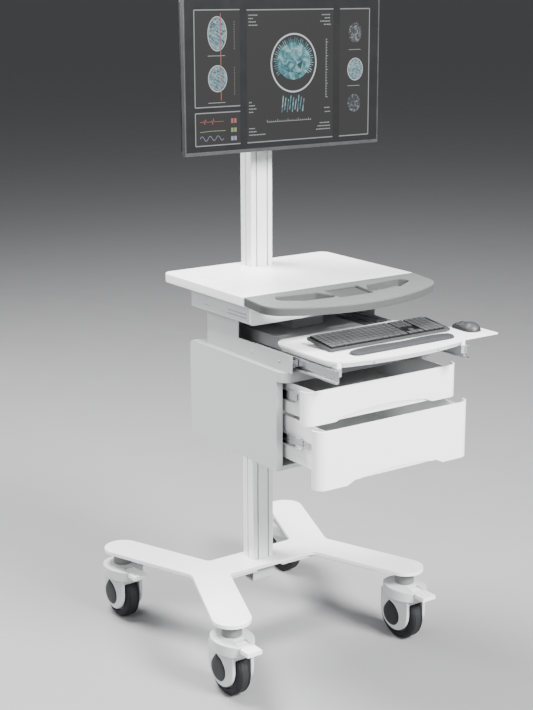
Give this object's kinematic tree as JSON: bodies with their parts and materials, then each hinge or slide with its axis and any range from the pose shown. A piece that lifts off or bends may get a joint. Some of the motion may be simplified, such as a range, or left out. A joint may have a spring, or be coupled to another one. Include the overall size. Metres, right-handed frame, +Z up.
{
  "type": "medication cart",
  "caption": "Mobile medication cart on a slant-legged caster base, with a column, drawer cabinet, keyboard tray, worktop with a bowed handle, and a monitor.",
  "frame": {"origin": "on the floor, under the middle of the cart's bounding box, with drawers and tray as modelled", "axes": "+Z up, -Y the front where the user stands, +X to the user's right"},
  "size_m": [0.594, 0.865, 1.5205],
  "materials": {
    "white_powder": "satin powder coat",
    "light_grey_powder": "fine textured powder coat",
    "dark_powder": "satin powder coat",
    "white_anodised": "bright anodised",
    "zinc_steel": "zinc plated",
    "white_plastic": "satin",
    "light_grey_plastic": "fine textured",
    "mid_grey_plastic": "fine textured",
    "dark_plastic": "fine textured",
    "black_plastic": "satin",
    "key_plastic": "fine textured",
    "dark_gel": "soft matte",
    "black_rubber": "matte",
    "tyre": "smooth",
    "screen_glass": "anti-glare"
  },
  "bodies": {
    "frame": {"base_plate": "white_powder", "foot_bracket": "light_grey_powder", "foot_bolts": "zinc_steel", "column": "white_anodised", "column_top_cap": "dark_plastic", "caster_stems": "mid_grey_plastic", "cabinet_shell": "light_grey_powder", "upper_slide_outers": "zinc_steel", "lower_slide_outers": "zinc_steel", "bay_frame": "light_grey_powder", "bay_screws": "zinc_steel", "support_arm": "light_grey_powder", "tray_guides": "zinc_steel", "power_housing": "light_grey_plastic", "power_front_cover": "white_plastic", "worktop": "white_plastic", "handle": "mid_grey_plastic", "monitor_bracket": "dark_powder"},
    "caster_fl": {"fork_fl": "light_grey_plastic", "axle_fl": "zinc_steel"},
    "wheel_fl": {"wheel_hub_fl": "dark_plastic", "tyre_fl": "tyre"},
    "pedal_fl": {"brake_pedal_fl": "white_plastic"},
    "caster_fr": {"fork_fr": "light_grey_plastic", "axle_fr": "zinc_steel"},
    "wheel_fr": {"wheel_hub_fr": "dark_plastic", "tyre_fr": "tyre"},
    "pedal_fr": {"brake_pedal_fr": "white_plastic"},
    "caster_bl": {"fork_bl": "light_grey_plastic", "axle_bl": "zinc_steel"},
    "wheel_bl": {"wheel_hub_bl": "dark_plastic", "tyre_bl": "tyre"},
    "pedal_bl": {"brake_pedal_bl": "white_plastic"},
    "caster_br": {"fork_br": "light_grey_plastic", "axle_br": "zinc_steel"},
    "wheel_br": {"wheel_hub_br": "dark_plastic", "tyre_br": "tyre"},
    "pedal_br": {"brake_pedal_br": "white_plastic"},
    "upper_slide": {"upper_slide_middles": "zinc_steel"},
    "upper_drawer": {"upper_drawer_box": "white_powder", "upper_drawer_front": "white_powder", "upper_slide_inners": "zinc_steel"},
    "lower_slide": {"lower_slide_middles": "zinc_steel"},
    "lower_drawer": {"lower_drawer_box": "white_powder", "lower_drawer_front": "white_powder", "lower_slide_inners": "zinc_steel"},
    "keyboard_drawer": {"keyboard_tray": "white_plastic", "tray_channels": "zinc_steel", "palm_rest": "dark_gel", "keyboard_base": "dark_plastic"},
    "keys": {"keyboard_keys": "key_plastic"},
    "side_shelf": {"mouse_shelf": "white_plastic", "mouse_body": "dark_plastic"},
    "mouse_button_pair": {"mouse_buttons": "mid_grey_plastic"},
    "scroll_wheel": {"mouse_wheel": "black_rubber"},
    "swivel_head": {"tilt_head": "dark_powder"},
    "monitor": {"vesa_plate": "dark_powder", "monitor_bezel": "black_plastic", "monitor_screen": "screen_glass", "monitor_rear_shell": "black_plastic"}
  },
  "joints": [
    {"name": "swivel_fl", "type": "hinge", "parent": "frame", "child": "caster_fl", "pos_m": [-0.25, -0.138, 0.1375], "axis": [0, 0, 1], "continuous": true},
    {"name": "roll_fl", "type": "hinge", "parent": "caster_fl", "child": "wheel_fl", "pos_m": [-0.25, -0.13, 0.0625], "axis": [1, 0, 0], "continuous": true},
    {"name": "brake_fl", "type": "hinge", "parent": "caster_fl", "child": "pedal_fl", "pos_m": [-0.25, -0.172, 0.131], "axis": [1, 0, 0], "range_deg": [0, 14]},
    {"name": "swivel_fr", "type": "hinge", "parent": "frame", "child": "caster_fr", "pos_m": [0.25, -0.138, 0.1375], "axis": [0, 0, 1], "continuous": true},
    {"name": "roll_fr", "type": "hinge", "parent": "caster_fr", "child": "wheel_fr", "pos_m": [0.25, -0.13, 0.0625], "axis": [1, 0, 0], "continuous": true},
    {"name": "brake_fr", "type": "hinge", "parent": "caster_fr", "child": "pedal_fr", "pos_m": [0.25, -0.172, 0.131], "axis": [1, 0, 0], "range_deg": [0, 14]},
    {"name": "swivel_bl", "type": "hinge", "parent": "frame", "child": "caster_bl", "pos_m": [-0.25, 0.362, 0.1375], "axis": [0, 0, 1], "continuous": true},
    {"name": "roll_bl", "type": "hinge", "parent": "caster_bl", "child": "wheel_bl", "pos_m": [-0.25, 0.37, 0.0625], "axis": [1, 0, 0], "continuous": true},
    {"name": "brake_bl", "type": "hinge", "parent": "caster_bl", "child": "pedal_bl", "pos_m": [-0.25, 0.328, 0.131], "axis": [1, 0, 0], "range_deg": [0, 14]},
    {"name": "swivel_br", "type": "hinge", "parent": "frame", "child": "caster_br", "pos_m": [0.25, 0.362, 0.1375], "axis": [0, 0, 1], "continuous": true},
    {"name": "roll_br", "type": "hinge", "parent": "caster_br", "child": "wheel_br", "pos_m": [0.25, 0.37, 0.0625], "axis": [1, 0, 0], "continuous": true},
    {"name": "brake_br", "type": "hinge", "parent": "caster_br", "child": "pedal_br", "pos_m": [0.25, 0.328, 0.131], "axis": [1, 0, 0], "range_deg": [0, 14]},
    {"name": "upper_drawer_slide", "type": "slide", "parent": "frame", "child": "upper_drawer", "axis": [0, -1, 0], "range_m": [-0.082, 0.188]},
    {"name": "upper_slide_extend", "type": "slide", "parent": "frame", "child": "upper_slide", "axis": [0, -1, 0], "range_m": [-0.041, 0.094]},
    {"name": "lower_drawer_slide", "type": "slide", "parent": "frame", "child": "lower_drawer", "axis": [0, -1, 0], "range_m": [-0.123, 0.147]},
    {"name": "lower_slide_extend", "type": "slide", "parent": "frame", "child": "lower_slide", "axis": [0, -1, 0], "range_m": [-0.0615, 0.0735]},
    {"name": "keyboard_drawer_slide", "type": "slide", "parent": "frame", "child": "keyboard_drawer", "axis": [0, -1, 0], "range_m": [-0.11, 0]},
    {"name": "key_press", "type": "slide", "parent": "keyboard_drawer", "child": "keys", "axis": [0, 0.1132, -0.9936], "range_m": [0, 0.002], "stiffness_N_per_m": 700, "springref_m": -0.003},
    {"name": "side_shelf_slide", "type": "slide", "parent": "keyboard_drawer", "child": "side_shelf", "axis": [1, 0, 0], "range_m": [-0.045, 0.012]},
    {"name": "mouse_click", "type": "slide", "parent": "side_shelf", "child": "mouse_button_pair", "axis": [0, 0, -1], "range_m": [0, 0.0008], "stiffness_N_per_m": 500, "springref_m": -0.001},
    {"name": "scroll", "type": "hinge", "parent": "side_shelf", "child": "scroll_wheel", "pos_m": [0.252, -0.31, 0.819], "axis": [1, 0, 0], "continuous": true},
    {"name": "monitor_swivel", "type": "hinge", "parent": "frame", "child": "swivel_head", "pos_m": [0, 0.085, 1.3555], "axis": [0, 0, 1], "range_deg": [-30, 30]},
    {"name": "monitor_tilt", "type": "hinge", "parent": "swivel_head", "child": "monitor", "pos_m": [0, 0.068, 1.3555], "axis": [1, 0, 0], "range_deg": [-20, 5]}
  ],
  "couplings": [
    {"joint": "upper_slide_extend", "follows": "upper_drawer_slide", "ratio": 0.5},
    {"joint": "lower_slide_extend", "follows": "lower_drawer_slide", "ratio": 0.5}
  ]
}
